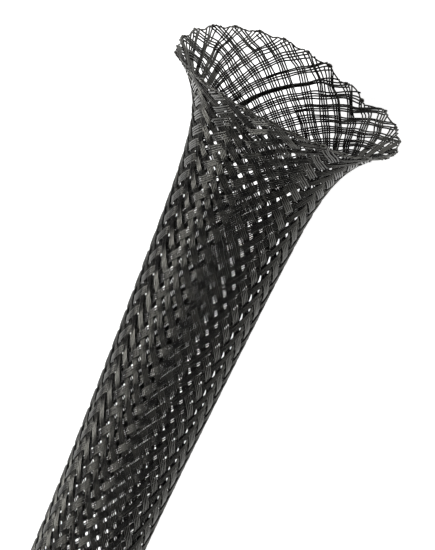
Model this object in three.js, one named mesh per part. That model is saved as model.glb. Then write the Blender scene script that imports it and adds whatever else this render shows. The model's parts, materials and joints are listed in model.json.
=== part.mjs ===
// Braided cable sleeve: one length of expandable braid, cut square at one end and opened into a
// trumpet-shaped mouth at the other. It lies on a level floor, its mouth toward +X, and rests on the
// lower edge of its cut end and on two lobes of its mouth's rim. Millimetres, +Z up.
// The wall is the space that the two crossing layers of filament take up. In the mouth the braid
// spreads into a net, and the wall has a plain grid of openings there.
import * as THREE from 'three';

// Tube
const sleeveLength = 304.8;     // from the cut end to the top of the rim
const laidDiameter = 16.4;      // middle of the wall, where the braid lies as supplied
const openedDiameter = 19.6;    // middle of the wall, behind the mouth, without the flare
const openingStretch = 85;      // the stretch before the rim in which the tube widens
const wallThickness = 0.64;     // two layers of filament and their waves

// Mouth
const flareReach = 6.95;        // what the flare adds to the tube's radius at the rim
const flareRise = 5.2;          // the flare grows e times wider in this length
const flareZone = 22;           // the stretch before the rim that is divided finely
const sideWiden = 0.7;          // how far the mouth's two sides stand out beyond its mean radius
const sideSag = 1.35;           // how far the two sides of the rim lie behind its top and bottom
const rimLean = 0.75;           // how far one side lies further back than that, and the other less

// Net of the mouth: rows of openings, one opening for every two of the round steps
const netReach = 11.5;          // the stretch before the rim that the rows fill
const netRows = 6;
const netOpening = 0.62;        // an opening's share of its row, before the bar that ends the row

// Places where the hot cut ran further back: angle round the mouth, depth along the sleeve
const rimDips = [
  { angle: 50, halfWidth: 7, depth: 1.2 },
  { angle: 68, halfWidth: 8, depth: 1.0 },
  { angle: 86, halfWidth: 14, depth: 0.4 },
  { angle: 172, halfWidth: 13, depth: 0.35 },
  { angle: 190, halfWidth: 7, depth: 0.5 },
  { angle: 222, halfWidth: 9, depth: 0.25 },
  { angle: 262, halfWidth: 14, depth: 0.2 },
  { angle: 318, halfWidth: 15, depth: 0.35 },
];

// How the sleeve lies: the angle round the mouth that faces the floor, between two lobes of the rim
const floorAngle = 73;

// Facets
const roundSteps = 48;
const laidSteps = 8;
const wideningSteps = 8;
const throatSteps = 4;
const netGrading = 1.3;         // above 1, the rows get shorter toward the rim

const { degToRad, lerp, smoothstep } = THREE.MathUtils;

// How far the rim is cut back at an angle round the mouth, in degrees.
function rimCutBack(angle) {
  const dips = rimDips.map(({ angle: middle, halfWidth, depth }) => {
    const away = (((angle - middle) % 360) + 540) % 360 - 180;
    return depth * Math.exp(-((away / halfWidth) ** 2));
  });
  return dips.reduce((sum, dip) => sum + dip, 0);
}

// How much of the two-sided oval an angle has: 1 at the mouth's sides, 0 at its top and bottom.
function sideShare(angle) {
  return (1 + Math.cos(2 * degToRad(angle))) / 2;
}

// Where the wall would end at this angle if the cut were clean.
function fullLength(angle) {
  return sleeveLength - sideSag * sideShare(angle) - rimLean * Math.cos(degToRad(angle));
}

// Radius of the middle of the wall, at a distance from the cut end and an angle round the mouth.
function wallRadius(along, angle) {
  const opened = smoothstep(along, sleeveLength - openingStretch, sleeveLength);
  const tube = lerp(laidDiameter, openedDiameter, opened) / 2;
  const reach = flareReach + sideWiden * (2 * sideShare(angle) - 1);
  return tube + reach * Math.exp((along - fullLength(angle)) / flareRise);
}

// How far from the start of the flare zone to the rim a place in the net lies, from 0 to 1.
function netShare(row) {
  return 1 - (netReach / flareZone) * (1 - row / netRows) ** netGrading;
}

// The rings that the wall is divided into: a place along the sleeve, how far on from there to the
// rim, from 0 to 1, and whether a row of openings begins there.
function wallStations() {
  const laidEnd = sleeveLength - openingStretch;
  const flareStart = sleeveLength - flareZone;
  const stations = [];
  for (let i = 0; i < laidSteps; i++) stations.push({ along: (laidEnd * i) / laidSteps, flare: 0 });
  for (let i = 0; i < wideningSteps; i++) {
    stations.push({ along: lerp(laidEnd, flareStart, i / wideningSteps), flare: 0 });
  }
  for (let i = 0; i < throatSteps; i++) {
    stations.push({ along: flareStart, flare: (netShare(0) * i) / throatSteps });
  }
  for (let row = 0; row < netRows; row++) {
    stations.push({ along: flareStart, flare: netShare(row), opens: true });
    stations.push({ along: flareStart, flare: netShare(row + netOpening) });
  }
  stations.push({ along: flareStart, flare: 1 });
  return stations;
}

// How steeply the wall opens there: the radius that it gains for each millimetre along.
function wallSlope(along, angle) {
  const step = 0.01;
  return (wallRadius(along + step, angle) - wallRadius(along - step, angle)) / (2 * step);
}

// A point of the wall: a station, an angle, and a side, 1 outside and -1 inside.
function wallPoint(station, angle, side) {
  const rim = fullLength(angle) - rimCutBack(angle);
  const along = lerp(station.along, rim, station.flare);
  const slope = wallSlope(along, angle);
  const offset = (side * wallThickness) / 2 / Math.hypot(1, slope);
  const radius = wallRadius(along, angle) + offset;
  const turn = degToRad(angle);
  return new THREE.Vector3(along - slope * offset, radius * Math.cos(turn), radius * Math.sin(turn));
}

// The sleeve along local X: a closed profile turned round, then set to the wall's true points.
function sleeveGeometry() {
  const stations = wallStations();
  const outside = stations.map((station) => ({ station, side: 1 }));
  const inside = stations.map((station) => ({ station, side: -1 })).reverse();
  const loop = [...outside, ...inside, outside[0]];
  const profile = loop.map(({ station, side }) => {
    const point = wallPoint(station, 0, side);
    return new THREE.Vector2(point.y, point.x);
  });
  const geometry = new THREE.LatheGeometry(profile, roundSteps);
  const positions = geometry.getAttribute('position');
  for (let turn = 0; turn <= roundSteps; turn++) {
    const angle = (360 * (turn % roundSteps)) / roundSteps;
    loop.forEach(({ station, side }, place) => {
      const point = wallPoint(station, angle, side);
      positions.setXYZ(turn * loop.length + place, point.x, point.y, point.z);
    });
  }
  cutNet(geometry, stations);
  geometry.computeVertexNormals();
  return geometry;
}

// Takes the faces of the openings out of both skins and walls the openings' sides. The outer skin's
// points come first in each turn of the lathe, then the inner skin's, from the rim back.
function cutNet(geometry, stations) {
  const count = stations.length;
  const turnLength = 2 * count + 1;
  const bands = turnLength - 1;
  const faces = geometry.getIndex().array;
  const outer = (turn, ring) => turn * turnLength + ring;
  const toInner = 2 * count - 1;
  const indices = [];
  for (let turn = 0; turn < roundSteps; turn++) {
    for (let band = 0; band < bands; band++) {
      const ring = band < count ? band : toInner - 1 - band;
      const opens = turn % 2 === 0 && stations[ring]?.opens;
      const first = 6 * (turn * bands + band);
      if (!opens) indices.push(...faces.slice(first, first + 6));
      if (!opens || band >= count) continue;
      const corners = [[turn, ring], [turn + 1, ring], [turn + 1, ring + 1], [turn, ring + 1]];
      corners.forEach((corner, i) => {
        const next = corners[(i + 1) % 4];
        const [a, b] = [outer(...corner), outer(...next)];
        const [c, d] = [b + toInner - 2 * next[1], a + toInner - 2 * corner[1]];
        indices.push(a, b, c, a, c, d);
      });
    }
  }
  geometry.setIndex(indices);
}

// How far a geometry's points reach below its axis, among those that a test on x lets through.
function lowestReach(geometry, roll, test) {
  const positions = geometry.getAttribute('position');
  const point = new THREE.Vector3();
  const low = { reach: 0, x: 0 };
  for (let i = 0; i < positions.count; i++) {
    point.fromBufferAttribute(positions, i).applyAxisAngle(new THREE.Vector3(1, 0, 0), roll);
    if (test(point.x) && -point.z > low.reach) Object.assign(low, { reach: -point.z, x: point.x });
  }
  return low;
}

const sleeveMaterial = new THREE.MeshStandardMaterial({
  color: 0x1b1b1c,
  roughness: 0.38,
  metalness: 0,
});

const braidedSleeve = new THREE.Mesh(sleeveGeometry(), sleeveMaterial);
braidedSleeve.name = 'braided_sleeve';

// The floor angle is rolled to the bottom, then the mouth is lifted until its rim stands level with
// the lower edge of the cut end.
const roll = degToRad(270 - floorAngle);
const rimLow = lowestReach(braidedSleeve.geometry, roll, (x) => x > sleeveLength - flareZone);
const endLow = lowestReach(braidedSleeve.geometry, roll, (x) => x < wallThickness);
const lift = Math.atan2(rimLow.reach - endLow.reach, rimLow.x - endLow.x);
braidedSleeve.rotation.x = roll;

const lying = new THREE.Group();
lying.rotation.y = -lift;
lying.add(braidedSleeve);

// The origin is under the middle of the sleeve's box, on the floor.
const sleeve = new THREE.Group();
sleeve.add(lying);
sleeve.updateMatrixWorld(true);
const box = new THREE.Box3().setFromObject(sleeve, true);
const middle = box.getCenter(new THREE.Vector3());
lying.position.set(-middle.x, -middle.y, -box.min.z);

export default sleeve;
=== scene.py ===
import json
import math

import bpy
import numpy as np
from mathutils import Matrix, Vector


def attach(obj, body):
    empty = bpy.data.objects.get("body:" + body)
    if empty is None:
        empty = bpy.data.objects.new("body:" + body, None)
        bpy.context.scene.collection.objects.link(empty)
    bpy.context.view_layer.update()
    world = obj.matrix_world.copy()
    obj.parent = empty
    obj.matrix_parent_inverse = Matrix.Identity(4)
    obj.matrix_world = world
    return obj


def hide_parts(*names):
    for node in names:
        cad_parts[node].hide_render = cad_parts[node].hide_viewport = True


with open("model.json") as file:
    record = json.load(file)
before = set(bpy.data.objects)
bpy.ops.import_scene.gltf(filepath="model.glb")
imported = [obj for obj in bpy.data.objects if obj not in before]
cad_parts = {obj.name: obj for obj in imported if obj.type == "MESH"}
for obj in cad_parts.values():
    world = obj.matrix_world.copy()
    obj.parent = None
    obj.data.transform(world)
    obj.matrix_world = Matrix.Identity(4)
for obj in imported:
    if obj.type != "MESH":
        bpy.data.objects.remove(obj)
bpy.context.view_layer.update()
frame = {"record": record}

MM = 0.001
TURN = 2 * math.pi
SEED = 11

# The sleeve's shape, as in the part's source: sizes in millimetres, angles in degrees round the
# mouth. "Along" is counted from the cut end, and "behind" from the rim.
SLEEVE_LENGTH = 304.8
LAID_DIAMETER = 16.4
OPENED_DIAMETER = 19.6
OPENING_STRETCH = 85
FLARE_REACH = 6.95
FLARE_RISE = 5.2
SIDE_WIDEN = 0.7
SIDE_SAG = 1.35
RIM_LEAN = 0.75
RIM_DIPS = (  # angle, half width, depth
    (50, 7, 1.2),
    (68, 8, 1.0),
    (86, 14, 0.4),
    (172, 13, 0.35),
    (190, 7, 0.5),
    (222, 9, 0.25),
    (262, 14, 0.2),
    (318, 15, 0.35),
)
FLOOR_ANGLE = 73
DOWNWARD = 270
SLOPE_STEP = 0.01

# The braid: ribbons of filaments laid side by side, each over two ribbons and under two
FILAMENT = 0.25
RIBBONS = 26  # that turn one way; as many turn the other way
IN_RIBBON = 4
SPACING = 0.272  # from filament to filament in a ribbon
WAVE = 0.17  # how far a filament's middle swings out of and into the wall
MOUTH_WAVE = 0.13  # the same where the filaments lie loose
WAVE_PERIOD = 4  # crossings
WAVE_TURN = (0.72, 1.28)  # crossings from a float's middle between which it turns inward
LAID_TWIST = 0.0558  # the sine of the braid's angle, for each millimetre of the tube's radius
OPENED_TWIST = 0.0590
HIGHEST_SINE = 0.9
MOUTH_ANGLES = (  # distance behind the rim, braid angle
    (0.0, 46.5),
    (1.5, 48.0),
    (5.0, 48.5),
    (7.0, 49.5),
    (9.5, 50.0),
    (13.0, 47.0),
    (18.0, 40.5),
    (24.0, 34.5),
)
MOUTH_BLEND = 6  # before and after the last of them, where the tube's own angle takes over
MEAN_ANGLE = math.pi / 4  # a place round the mouth where it has its mean reach
WINDING_POINTS = 6097
WINDING_SMOOTHING = 41  # points
COLUMN_ANGLE = 241.9  # where a column of one family's floats has its middle
RIM_CROSSING = 1.0  # the crossing that the rim is cut through, counted from where two ribbons meet
RIBBON_STEP = TURN / RIBBONS
FIRST_CROSSING = math.radians(COLUMN_ANGLE) - RIBBON_STEP / 4

# How the half of the tube that the camera doesn't face is drawn round and along, in ribbon steps
DRAWN = (  # angle, round, along
    (4, 0.0, 0.0),
    (28, 0.25, -0.22),
    (108, 0.25, -0.22),
    (118, 0.16, -0.22),
    (128, 0.16, -0.22),
    (140, 0.25, -0.18),
    (158, 0.25, -0.14),
    (184, 0.0, 0.0),
)
DRAWN_FROM = 3.0  # behind the rim
DRAWN_WHOLE = 10.0

# How the ribbons loosen in the mouth, against the distance behind the rim
LOOSE_WHOLE = 4.0
LOOSE_REACH = 20.0
OPEN_SPACING = 0.07  # what is added to the spacing, and its least and most share in a ribbon
OPEN_SHARES = (0.6, 1.6)
TIGHT_SPACING = 0.13  # in the ribbons whose filaments lie on one another
TIGHT_RIBBONS = {1: (5,), -1: (14, 20)}
TIGHT_FROM = (1.0, 3.5)
STACK = 0.3  # how far those lie out of the ribbon's middle, in filaments
RIM_SPACING = 0.22  # what is added at the very rim
RIM_REACH = 3.0
RIBBON_DRIFT = 0.22  # how far a loose ribbon strays sideways, and the lengths of its bends
RIBBON_BENDS = (9.0, 17.0)
FILAMENT_DRIFT = 0.05
FILAMENT_BENDS = (4.0, 7.0)
CLOSE_DRIFT = 0.012  # how far a filament strays sideways everywhere
LIFT = 0.02  # how far it strays out of and into the wall
LIFT_BENDS = (6.0, 11.0)

# The rim, cut with heat
LEAN_FADE = 12  # the rim's lean and sag fade e times in this length
CUT_STRETCH = 7  # the stretch before the rim whose points are drawn back by its dips
CUT_UNEVEN = (-0.08, 0.12)
MELT = 0.24  # how thick the melted edge is
SCALLOP = 0.2  # how far it dips between two crossings of ribbons
MELT_SINK = 0.06
MELT_SAG = (-0.05, 0.10)
MELT_STRAY = 0.05
MELT_LEAST_STEP = 0.006  # radians
BEAD_WIDTH = (0.45, 0.75)
BEAD_VARIES = (0.8, 1.15)
BEAD_SHAPE = (1.25, 0.85, 0.7)  # along the rim, down the wall, through the wall
BEAD_LUMPS = 0.16
BEAD_SINK = 0.05

# Mesh
SIDES = 6
DOME = 0.7  # the height of a filament's domed end, in radii
PIECES_EACH_WAY = 3
PLAIN_BEFORE = -60  # crossings before the rim, where the filaments have fewer points
MOUTH_FROM = -20
PLAIN_PARTS = (0.5, 1.28, 1.72)  # places of points in each two crossings
TUBE_PARTS = (0.5, 1.24, 1.5, 1.76)
MOUTH_PARTS = (0.1, 0.5, 0.9, 1.24, 1.37, 1.5, 1.63, 1.76)
CLEAR_OF_CUT = 0.3  # crossings without a point next to a filament's two ends
CLEAR_OF_RIM = 0.1
BEAD_ROWS = 6
BEAD_TURNS = 8
STRIP_START = 0.01  # a filament's strip of the texture map
STRIP_LENGTH = 0.98
STRIP_EDGE = 0.1
STRIP_WIDTH = 0.8
TIP_ROW = 0.3  # how far past the last ring of points a domed end lies in it

# Black polyester
IOR = 1.57
SPECULAR_TINT = (1.0, 0.98, 0.86, 1)
BLACKS = ((0.2, (0.008, 0.008, 0.009, 1)), (1.0, (0.030, 0.028, 0.024, 1)))
ROUGHNESS = (0.12, 0.28)
GRAIN_SCALE = 900
GRAIN_DETAIL = 4
GRAIN_SHARE = 0.5
SCUFF_SCALE = 5200
SCUFF_DETAIL = 2
SCUFF_STRENGTH = 0.15
SCUFF_DEPTH = 0.00001
FILAMENT_TINTS = (-0.25, 0.35)
MELT_TINT = 0.5
BEAD_TINTS = (0.35, 0.8)

# Studio: sizes in metres, powers in watts
FLOOR_HALF = 3.0
FLOOR_WHITE = (0.93, 0.93, 0.925, 1)
FLOOR_ROUGHNESS = 0.9
FLOOR_GLOW = 0.95
SKY_COLOR = (0.97, 0.98, 1.0, 1)
SKY_HEIGHTS = (0.11, 0.16)  # sines of the heights between which the sky goes from pale to dark
SKY_STRENGTHS = (1.0, 0.02)
LIGHTS = (  # name, place from the aim along the picture's right, up and back, size, power
    ("left", (-0.88, -0.16, 0.08), (0.25, 0.5), 7.0),
    ("low_left", (-0.5, -0.6, 0.4), (0.3, 0.3), 1.3),
)

# The camera's place, found from the photograph: millimetres and degrees
CAMERA_AIM_BACK = 31.0  # the axis point it is set from lies this far behind the rim
CAMERA_TOWARD = 26.981  # how far the mouth comes toward the camera, out of the picture's plane
CAMERA_ROLL = 23.771
CAMERA_TURN = 4.07
CAMERA_DISTANCE = 265.0
CAMERA_RIGHT = 0.8142
CAMERA_UP = -1.4070
LENS = 117.995
SENSOR = 36
CLIP_START = 0.01  # metres


def smoothstep(x, low, high):
    t = np.clip((x - low) / (high - low), 0, 1)
    return t * t * (3 - 2 * t)


def side_share(angle):
    """How much of the two-sided oval an angle has: 1 at the mouth's sides, 0 between them."""
    return (1 + np.cos(2 * angle)) / 2


def full_length(angle):
    """Where the wall would end at an angle if the cut were clean."""
    return SLEEVE_LENGTH - SIDE_SAG * side_share(angle) - RIM_LEAN * np.cos(angle)


def rim_cut_back(angle):
    """How far the rim is cut back at an angle, in radians, round the mouth."""
    total = 0 * angle
    for middle, half_width, depth in RIM_DIPS:
        away = (np.degrees(angle) - middle + 180) % 360 - 180
        total = total + depth * np.exp(-((away / half_width) ** 2))
    return total


def wall_radius(along, angle):
    opened = smoothstep(along, SLEEVE_LENGTH - OPENING_STRETCH, SLEEVE_LENGTH)
    tube = (LAID_DIAMETER + (OPENED_DIAMETER - LAID_DIAMETER) * opened) / 2
    reach = FLARE_REACH + SIDE_WIDEN * (2 * side_share(angle) - 1)
    return tube + reach * np.exp((along - full_length(angle)) / FLARE_RISE)


def wall_slope(along, angle):
    ahead = wall_radius(along + SLOPE_STEP, angle)
    back = wall_radius(along - SLOPE_STEP, angle)
    return (ahead - back) / (2 * SLOPE_STEP)


class Lie:
    """Where the sleeve lies: its cut end's middle and its axes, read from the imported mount."""

    def __init__(self, mount):
        self.along = -Vector(mount["axis"]).normalized()
        self.across = Vector((0, 1, 0))
        self.up = self.along.cross(self.across)
        self.start = Vector(mount["pos_m"]) - self.up * (LAID_DIAMETER / 2 * MM)
        self.roll = math.radians(DOWNWARD - FLOOR_ANGLE)

    def radial(self, angle):
        turned = angle + self.roll
        return self.across * math.cos(turned) + self.up * math.sin(turned)

    def place(self, along, radius, angle):
        """Row-frame points, in metres, from arrays of places in the sleeve, in millimetres."""
        turned = angle + self.roll
        parts = (along, radius * np.cos(turned), radius * np.sin(turned))
        axes = (self.along, self.across, self.up)
        flat = sum(part[..., None] * np.array(axis) for part, axis in zip(parts, axes))
        return flat * MM + np.array(self.start)


class Winding:
    """How far round the sleeve a filament has turned, against its place along it."""

    def __init__(self):
        self.along = np.linspace(0, SLEEVE_LENGTH, WINDING_POINTS)
        middle = MEAN_ANGLE + 0 * self.along
        mean_length = full_length(middle[0])
        shifted = self.along + (mean_length - SLEEVE_LENGTH)
        radius = wall_radius(shifted, middle)
        step = np.hypot(np.gradient(self.along), np.gradient(radius))
        run = self._summed(step)
        self.behind = run[-1] - run
        opened = smoothstep(self.along, SLEEVE_LENGTH - OPENING_STRETCH, SLEEVE_LENGTH)
        twist = LAID_TWIST + (OPENED_TWIST - LAID_TWIST) * opened
        tube = np.arcsin(np.clip(twist * radius, 0, HIGHEST_SINE))
        distances, degrees = zip(*MOUTH_ANGLES)
        mouth = np.radians(np.interp(self.behind, distances, degrees))
        share = smoothstep(self.behind, distances[-1] - MOUTH_BLEND, distances[-1] + MOUTH_BLEND)
        tube_here = np.minimum(tube, np.radians(degrees[-1]))
        self.angle = self._smoothed(mouth * (1 - share) + tube_here * share)
        turned = self._summed(np.tan(self.angle) / radius * step)
        self.turned = turned - turned[-1] + RIM_CROSSING * RIBBON_STEP / 2
        self.radius = radius

    @staticmethod
    def _summed(values):
        return np.concatenate(([0], np.cumsum((values[1:] + values[:-1]) / 2)))

    @staticmethod
    def _smoothed(values):
        width = WINDING_SMOOTHING
        padded = np.pad(values, width, mode="edge")
        window = np.hanning(width) / np.hanning(width).sum()
        return np.convolve(padded, window, "same")[width:-width]

    def at(self, turned, values):
        return np.interp(turned, self.turned, values)


def crossing_marks(first, last):
    """Where along a filament, in crossings, its points lie: more of them toward the mouth."""
    marks = []
    for pair in range(math.floor(first / 2) - 1, math.ceil(last / 2) + 1):
        if 2 * pair < PLAIN_BEFORE:
            parts = PLAIN_PARTS
        elif 2 * pair < MOUTH_FROM:
            parts = TUBE_PARTS
        else:
            parts = MOUTH_PARTS
        marks += [2 * pair + part for part in parts]
    return np.array(sorted(m for m in marks if first < m < last))


def wave(m):
    """1 where the rising filaments lie outside the falling ones, and -1 where they lie inside."""
    part = (m - 0.5) % WAVE_PERIOD
    part = np.minimum(part, WAVE_PERIOD - part)
    return 1 - 2 * smoothstep(part, *WAVE_TURN)


def soft_random(rng, shape, u, lengths):
    """A smooth random value from about -1 to 1 that changes along u."""
    total = 0 * u
    for length in lengths:
        phase = rng.uniform(0, TURN, shape)
        total = total + np.sin(TURN * u / length + phase)
    return total / len(lengths)


def drawn(angle, behind):
    """How far the braid is drawn round and along there, both as an angle of winding."""
    places, round_by, along_by = zip(*DRAWN)
    where = np.degrees(angle) % 360
    share = smoothstep(behind, DRAWN_FROM, DRAWN_WHOLE) * RIBBON_STEP
    return [np.interp(where, places, part, period=360) * share for part in (round_by, along_by)]


def scallop(angle):
    """How far the melted edge lies below its crests, which stand where two ribbons cross."""
    turns = (angle - FIRST_CROSSING) / RIBBON_STEP - RIM_CROSSING / 2
    return SCALLOP * (1 - np.cos(TURN * turns)) / 2


class Family:
    """The filaments that turn one way toward the mouth: sign 1 with the angle, and -1 against."""

    def __init__(self, sign, winding, rng):
        self.sign = sign
        self.winding = winding
        ribbon = np.repeat(np.arange(RIBBONS), IN_RIBBON)
        place = np.tile(np.arange(IN_RIBBON) - (IN_RIBBON - 1) / 2, RIBBONS)
        self.ribbon = ribbon[:, None]
        self.place = place[:, None]
        self.count = len(ribbon)
        self._lay(rng)

    def _lay(self, rng):
        w = self.winding
        first = 2 * w.turned[0] / RIBBON_STEP
        marks = crossing_marks(first + CLEAR_OF_CUT, RIM_CROSSING - CLEAR_OF_RIM)
        marks = np.concatenate(([first], marks, [RIM_CROSSING]))[None, :]
        nominal = marks * RIBBON_STEP / 2 + 0 * self.ribbon
        behind = w.at(nominal, w.behind)
        radius = w.at(nominal, w.radius)
        across = 1 / (radius * np.cos(w.at(nominal, w.angle)))
        loose = 1 - smoothstep(behind, LOOSE_WHOLE, LOOSE_REACH)
        near_rim = 1 - smoothstep(behind, 0, RIM_REACH)
        open_more = OPEN_SPACING * rng.uniform(*OPEN_SHARES, RIBBONS)
        open_more = np.repeat(open_more, IN_RIBBON)[:, None]
        tight = np.isin(self.ribbon, TIGHT_RIBBONS[self.sign]) * smoothstep(behind, *TIGHT_FROM)
        opened = open_more + (TIGHT_SPACING - SPACING - open_more) * tight
        spacing = SPACING + opened * loose + RIM_SPACING * near_rim
        drift = soft_random(rng, (RIBBONS, 1), behind[::IN_RIBBON], RIBBON_BENDS)
        drift = np.repeat(drift, IN_RIBBON, axis=0)
        own = soft_random(rng, (self.count, 1), behind, FILAMENT_BENDS)
        strayed = (RIBBON_DRIFT * drift + FILAMENT_DRIFT * own) * loose + CLOSE_DRIFT * own
        offset = (self.place * spacing + strayed) * across
        turned = nominal - self.sign * offset / 2
        turned = np.minimum(turned, w.turned[-1])
        self.m = 2 * self.ribbon + self.sign * marks
        angle = FIRST_CROSSING + RIBBON_STEP * self.ribbon + offset + self.sign * turned
        round_by, along_by = drawn(angle, w.at(turned, w.behind))
        self.angle = angle + round_by
        self.at = w.at(np.minimum(turned + along_by, w.turned[-1]), w.along)
        self.loose = loose
        stacked = tight * (2 * (np.arange(self.count)[:, None] % 2) - 1)
        lift = soft_random(rng, (self.count, 1), behind, LIFT_BENDS)
        self.stack = stacked * loose * FILAMENT * STACK + LIFT * lift


def family_points(family, lie, rng):
    """Middles of the filaments and the wall's outward direction there, in the row frame."""
    angle, at = family.angle, family.at
    leaned = np.exp((at - SLEEVE_LENGTH) / LEAN_FADE)
    along = at + (full_length(angle) - SLEEVE_LENGTH) * leaned
    stretch = SLEEVE_LENGTH - CUT_STRETCH
    share = np.clip((at - stretch) / (SLEEVE_LENGTH - stretch), 0, 1)
    uneven = rng.uniform(*CUT_UNEVEN, (family.count, 1))
    along = along - (rim_cut_back(angle) + scallop(angle) + uneven) * share
    swing = WAVE + (MOUTH_WAVE - WAVE) * family.loose
    height = family.sign * swing * wave(family.m) + family.stack
    slope = wall_slope(along, angle)
    radius = wall_radius(along, angle)
    tilt = np.hypot(1, slope)
    points = lie.place(along - slope * height / tilt, radius + height / tilt, angle)
    ahead = lie.place(along - slope / tilt, radius + 1 / tilt, angle)
    flat = lie.place(along, radius, angle)
    outward = (ahead - flat) / MM
    return points, outward


def tube_mesh(name, points, outward, radius, tints):
    """Round filaments through rows of points, closed at both ends by low domes."""
    count, steps = points.shape[:2]
    forward = np.gradient(points, axis=1)
    forward /= np.linalg.norm(forward, axis=2, keepdims=True)
    side = np.cross(forward, outward)
    side /= np.linalg.norm(side, axis=2, keepdims=True)
    up = np.cross(side, forward)
    turns = np.arange(SIDES) * TURN / SIDES
    ring = (
        np.cos(turns)[None, None, :, None] * up[:, :, None, :]
        + np.sin(turns)[None, None, :, None] * side[:, :, None, :]
    )
    rings = points[:, :, None, :] + ring * radius
    first_tip = points[:, 0] - forward[:, 0] * radius * DOME
    last_tip = points[:, -1] + forward[:, -1] * radius * DOME
    tips = np.stack((first_tip, last_tip), 1)
    corners = np.concatenate((rings.reshape(count, -1, 3), tips), 1)
    quads, fans = tube_faces(steps)
    each = steps * SIDES + 2
    shift = np.arange(count)[:, None, None] * each
    all_quads = (quads[None] + shift).reshape(-1, 4)
    all_fans = (fans[None] + shift).reshape(-1, 3)
    mesh = raw_mesh(name, corners.reshape(-1, 3), all_quads, all_fans)
    add_tint(mesh, np.repeat(tints, each))
    strip_map(mesh, count, steps, each)
    return mesh


def tube_faces(steps):
    """The faces of one filament: its rings' corners come first, then its two tips."""
    k = np.arange(steps - 1)[:, None] * SIDES
    j = np.arange(SIDES)[None, :]
    after = (j + 1) % SIDES
    quads = np.stack((k + j, k + after, k + SIDES + after, k + SIDES + j), -1).reshape(-1, 4)
    last = (steps - 1) * SIDES
    tip = steps * SIDES
    start = np.stack((0 * j[0] + tip, after[0], j[0]), -1)
    end = np.stack((0 * j[0] + tip + 1, last + j[0], last + after[0]), -1)
    return quads, np.concatenate((start, end))


def raw_mesh(name, corners, quads, fans):
    """A smooth mesh from arrays of corners, of four-sided faces and of three-sided ones."""
    mesh = bpy.data.meshes.new(name)
    mesh.vertices.add(len(corners))
    mesh.vertices.foreach_set("co", corners.astype(np.float32).ravel())
    loops = np.concatenate((quads.ravel(), fans.ravel())).astype(np.int32)
    mesh.loops.add(len(loops))
    mesh.loops.foreach_set("vertex_index", loops)
    totals = np.concatenate((np.full(len(quads), 4), np.full(len(fans), 3))).astype(np.int32)
    starts = np.concatenate(([0], np.cumsum(totals)[:-1])).astype(np.int32)
    mesh.polygons.add(len(totals))
    mesh.polygons.foreach_set("loop_start", starts)
    mesh.polygons.foreach_set("loop_total", totals)
    mesh.polygons.foreach_set("use_smooth", np.ones(len(totals), dtype=bool))
    mesh.update(calc_edges=True)
    mesh.validate()
    return mesh


def add_tint(mesh, values):
    """A shade for each corner, which the material reads."""
    tint = mesh.attributes.new("tint", "FLOAT", "POINT")
    tint.data.foreach_set("value", np.asarray(values, dtype=np.float32))


def strip_map(mesh, count, steps, each):
    """A texture map in which every filament has a strip of its own."""
    layer = mesh.uv_layers.new(name="OFBake")
    index = np.empty(len(mesh.loops), dtype=np.int32)
    mesh.loops.foreach_get("vertex_index", index)
    which, own = index // each, index % each
    tip = own >= steps * SIDES
    tip_row = np.where(own == each - 1, steps - (1 - TIP_ROW), -TIP_ROW)
    row = np.where(tip, tip_row, own // SIDES)
    turn = np.where(tip, SIDES / 2, own % SIDES).astype(float)
    totals = np.empty(len(mesh.polygons), dtype=np.int32)
    mesh.polygons.foreach_get("loop_total", totals)
    face = np.repeat(np.arange(len(totals)), totals)
    has_first = np.zeros(len(totals), dtype=bool)
    has_last = np.zeros(len(totals), dtype=bool)
    np.logical_or.at(has_first, face, (turn == 0) & ~tip)
    np.logical_or.at(has_last, face, (turn == SIDES - 1) & ~tip)
    wraps = (has_first & has_last)[face] & (turn == 0) & ~tip
    turn = np.where(wraps, SIDES, turn)
    u = STRIP_START + STRIP_LENGTH * (row + 0.5) / steps
    v = (which + STRIP_EDGE + STRIP_WIDTH * turn / SIDES) / count
    layer.data.foreach_set("uv", np.stack((u, v), -1).astype(np.float32).ravel())


def add_piece(name, mesh, material):
    piece = bpy.data.objects.new(name, mesh)
    bpy.context.scene.collection.objects.link(piece)
    mesh.materials.append(material)
    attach(piece, "root")
    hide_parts("braided_sleeve")


def new_noise(nodes, links, place, scale, detail):
    noise = nodes.new("ShaderNodeTexNoise")
    noise.inputs["Scale"].default_value = scale
    noise.inputs["Detail"].default_value = detail
    links.new(place.outputs["Object"], noise.inputs["Vector"])
    return noise


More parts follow.
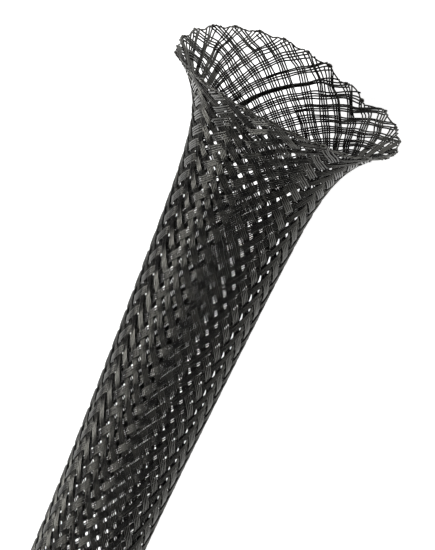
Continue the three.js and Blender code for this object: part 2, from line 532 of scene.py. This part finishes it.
def filament_material():
    """Black drawn polyester: a satin gloss that changes along the filaments, with faint scuffs."""
    material = bpy.data.materials.new("black_filament")
    material.use_nodes = True
    nodes, links = material.node_tree.nodes, material.node_tree.links
    shader = nodes["Principled BSDF"]
    shader.inputs["IOR"].default_value = IOR
    shader.inputs["Specular Tint"].default_value = SPECULAR_TINT
    tint = nodes.new("ShaderNodeAttribute")
    tint.attribute_name = "tint"
    place = nodes.new("ShaderNodeTexCoord")
    grain = new_noise(nodes, links, place, GRAIN_SCALE, GRAIN_DETAIL)
    mix = nodes.new("ShaderNodeMath")
    mix.operation = "MULTIPLY_ADD"
    mix.inputs[1].default_value = GRAIN_SHARE
    links.new(grain.outputs["Fac"], mix.inputs[0])
    links.new(tint.outputs["Fac"], mix.inputs[2])
    ramp = nodes.new("ShaderNodeValToRGB")
    for element, (position, color) in zip(ramp.color_ramp.elements, BLACKS):
        element.position = position
        element.color = color
    links.new(mix.outputs[0], ramp.inputs["Fac"])
    links.new(ramp.outputs["Color"], shader.inputs["Base Color"])
    rough = nodes.new("ShaderNodeMapRange")
    rough.inputs["To Min"].default_value, rough.inputs["To Max"].default_value = ROUGHNESS
    links.new(grain.outputs["Fac"], rough.inputs["Value"])
    links.new(rough.outputs["Result"], shader.inputs["Roughness"])
    scuffs = new_noise(nodes, links, place, SCUFF_SCALE, SCUFF_DETAIL)
    bump = nodes.new("ShaderNodeBump")
    bump.inputs["Strength"].default_value = SCUFF_STRENGTH
    bump.inputs["Distance"].default_value = SCUFF_DEPTH
    links.new(scuffs.outputs["Fac"], bump.inputs["Height"])
    links.new(bump.outputs["Normal"], shader.inputs["Normal"])
    return material


def bead_corners(lie, angle, width, rng):
    """The corners of a lumpy drop on the rim: a pole, rows of corners, and the other pole."""
    turned = np.array(angle)
    along = full_length(turned) - (rim_cut_back(turned) + BEAD_SINK)
    middle = lie.place(along, wall_radius(along, turned), turned)
    out = np.array(lie.radial(angle))
    ahead = np.array(lie.along)
    tangent = np.cross(ahead, out)
    slope = float(wall_slope(along, turned))
    down_wall = (ahead + out * slope) / math.hypot(1, slope)
    normal = np.cross(tangent, down_wall)
    size = width * MM / 2 * rng.uniform(*BEAD_VARIES, 3) * np.array(BEAD_SHAPE)
    corners = []
    for row in range(BEAD_ROWS + 1):
        tilt = math.pi * row / BEAD_ROWS
        for turn in range(BEAD_TURNS if 0 < row < BEAD_ROWS else 1):
            spin = TURN * turn / BEAD_TURNS
            bulge = 1 + rng.uniform(-BEAD_LUMPS, BEAD_LUMPS)
            a = math.sin(tilt) * math.cos(spin) * size[1] * bulge
            b = math.cos(tilt) * size[0] * bulge
            c = math.sin(tilt) * math.sin(spin) * size[2] * bulge
            corners.append(middle + down_wall * a + tangent * b + normal * c)
    return corners


def bead_faces(base):
    """The faces of a drop, in fours and in threes, whose corners are counted from base."""

    def corner(row, turn):
        if row == 0:
            return base
        first = base + 1 + (row - 1) * BEAD_TURNS
        return first if row == BEAD_ROWS else first + turn % BEAD_TURNS

    quads, fans = [], []
    below = BEAD_ROWS - 1
    for turn in range(BEAD_TURNS):
        fans.append((corner(0, 0), corner(1, turn), corner(1, turn + 1)))
        fans.append((corner(BEAD_ROWS, 0), corner(below, turn + 1), corner(below, turn)))
        for row in range(1, below):
            near = (corner(row, turn), corner(row + 1, turn))
            far = (corner(row + 1, turn + 1), corner(row, turn + 1))
            quads.append(near + far)
    return quads, fans


def bead_mesh(name, lie, places, rng):
    """Drops of melted filament: (angle, width in millimetres) for each."""
    corners, quads, fans, tints = [], [], [], []
    for angle, width in places:
        more_quads, more_fans = bead_faces(len(corners))
        quads += more_quads
        fans += more_fans
        more = bead_corners(lie, angle, width, rng)
        corners += more
        tints += [rng.uniform(*BEAD_TINTS)] * len(more)
    mesh = raw_mesh(name, np.array(corners), np.array(quads), np.array(fans))
    add_tint(mesh, tints)
    return mesh


def melted_edge(lie, ends, rng):
    """A closed run of melted filament through the filaments' ends, in their order round."""
    angle = np.sort(np.concatenate(ends) % TURN)
    angle = angle[np.concatenate((np.diff(angle) > MELT_LEAST_STEP, [True]))]
    closed = np.concatenate((angle, [angle[0] + TURN]))
    fine = np.sort(np.concatenate((closed, (closed[1:] + closed[:-1]) / 2)))[None, :]
    sag = rng.uniform(*MELT_SAG, fine.shape)
    sag[0, -1] = sag[0, 0]
    along = full_length(fine) - rim_cut_back(fine) - scallop(fine) - MELT_SINK - sag
    radius = wall_radius(along, fine)
    height = rng.uniform(-MELT_STRAY, MELT_STRAY, fine.shape)
    height[0, -1] = height[0, 0]
    points = lie.place(along, radius + height, fine)
    slope = wall_slope(along, fine)
    flat = lie.place(along - slope, radius + height + 1, fine)
    outward = (flat - points) / MM
    outward /= np.linalg.norm(outward, axis=2, keepdims=True)
    return points, outward


def make_braid(lie):
    rng = np.random.default_rng(SEED)
    winding = Winding()
    material = filament_material()
    ends = []
    thin = FILAMENT / 2 * MM
    for sign, name in ((1, "filaments_rising"), (-1, "filaments_falling")):
        family = Family(sign, winding, rng)
        points, outward = family_points(family, lie, rng)
        ends.append(family.angle[:, -1])
        tints = rng.uniform(*FILAMENT_TINTS, family.count)
        pieces = np.array_split(np.arange(family.count), PIECES_EACH_WAY)
        for part, chosen in enumerate(pieces):
            piece = f"{name}_{part + 1}"
            mesh = tube_mesh(piece, points[chosen], outward[chosen], thin, tints[chosen])
            add_piece(piece, mesh, material)
    points, outward = melted_edge(lie, ends, rng)
    edge = tube_mesh("melted_edge", points, outward, MELT / 2 * MM, np.array([MELT_TINT]))
    add_piece("melted_edge", edge, material)
    first = FIRST_CROSSING + RIM_CROSSING * RIBBON_STEP / 2
    places = [(first + RIBBON_STEP * k, rng.uniform(*BEAD_WIDTH)) for k in range(RIBBONS)]
    add_piece("rim_beads", bead_mesh("rim_beads", lie, places, rng), material)


def make_floor():
    """A level white floor that gives off light, so that it stays white in the sleeve's shadow."""
    mesh = bpy.data.meshes.new("floor")
    signs = ((-1, -1), (1, -1), (1, 1), (-1, 1))
    corners = [(x * FLOOR_HALF, y * FLOOR_HALF, 0) for x, y in signs]
    mesh.from_pydata(corners, [], [(0, 1, 2, 3)])
    floor = bpy.data.objects.new("floor", mesh)
    bpy.context.scene.collection.objects.link(floor)
    material = bpy.data.materials.new("floor")
    material.use_nodes = True
    shader = material.node_tree.nodes["Principled BSDF"]
    shader.inputs["Base Color"].default_value = FLOOR_WHITE
    shader.inputs["Roughness"].default_value = FLOOR_ROUGHNESS
    shader.inputs["Emission Color"].default_value = (1, 1, 1, 1)
    shader.inputs["Emission Strength"].default_value = FLOOR_GLOW
    mesh.materials.append(material)


def make_camera(lie):
    """The camera, as the photograph has it. Gives its aim and the picture's axes."""
    e0 = lie.along
    e1 = lie.radial(0)
    e2 = lie.radial(math.pi / 2)
    turn, toward, roll = map(math.radians, (CAMERA_TURN, CAMERA_TOWARD, CAMERA_ROLL))
    near = e1 * math.sin(turn) - e2 * math.cos(turn)
    back = e0 * math.sin(toward) + near * math.cos(toward)
    up0 = (e0 - back * e0.dot(back)).normalized()
    right0 = up0.cross(back)
    up = up0 * math.cos(roll) - right0 * math.sin(roll)
    right = right0 * math.cos(roll) + up0 * math.sin(roll)
    aim = lie.start + e0 * ((SLEEVE_LENGTH - CAMERA_AIM_BACK) * MM)
    place = aim + (right * CAMERA_RIGHT + up * CAMERA_UP + back * CAMERA_DISTANCE) * MM
    data = bpy.data.cameras.new("camera")
    data.lens = LENS
    data.sensor_width = SENSOR
    data.clip_start = CLIP_START
    camera = bpy.data.objects.new("camera", data)
    camera.matrix_world = Matrix(
        (
            (right.x, up.x, back.x, place.x),
            (right.y, up.y, back.y, place.y),
            (right.z, up.z, back.z, place.z),
            (0, 0, 0, 1),
        )
    )
    bpy.context.scene.collection.objects.link(camera)
    bpy.context.scene.camera = camera
    return aim, right, up, back


def area_light(name, place, aim, size, power):
    data = bpy.data.lights.new(name, "AREA")
    data.shape = "RECTANGLE"
    data.size, data.size_y = size
    data.energy = power
    light = bpy.data.objects.new(name, data)
    light.location = place
    light.rotation_euler = (aim - place).to_track_quat("-Z", "Y").to_euler()
    bpy.context.scene.collection.objects.link(light)


def make_sky():
    """A sky that is pale just over the horizon, as a backdrop, and dark above it."""
    world = bpy.data.worlds.new("studio")
    world.use_nodes = True
    nodes, links = world.node_tree.nodes, world.node_tree.links
    nodes["Background"].inputs["Color"].default_value = SKY_COLOR
    heading = nodes.new("ShaderNodeTexCoord")
    parts = nodes.new("ShaderNodeSeparateXYZ")
    fade = nodes.new("ShaderNodeMapRange")
    fade.inputs["From Min"].default_value, fade.inputs["From Max"].default_value = SKY_HEIGHTS
    fade.inputs["To Min"].default_value, fade.inputs["To Max"].default_value = SKY_STRENGTHS
    links.new(heading.outputs["Generated"], parts.inputs["Vector"])
    links.new(parts.outputs["Z"], fade.inputs["Value"])
    links.new(fade.outputs["Result"], nodes["Background"].inputs["Strength"])
    bpy.context.scene.world = world


def make_lights(aim, right, up, back):
    for name, (by_right, by_up, by_back), size, power in LIGHTS:
        place = aim + right * by_right + up * by_up + back * by_back
        area_light(name, place, aim, size, power)


bpy.context.scene.view_settings.view_transform = "Standard"
lie = Lie(frame["record"]["mounts"][0])
view = make_camera(lie)
make_floor()
make_sky()
make_lights(*view)
make_braid(lie)
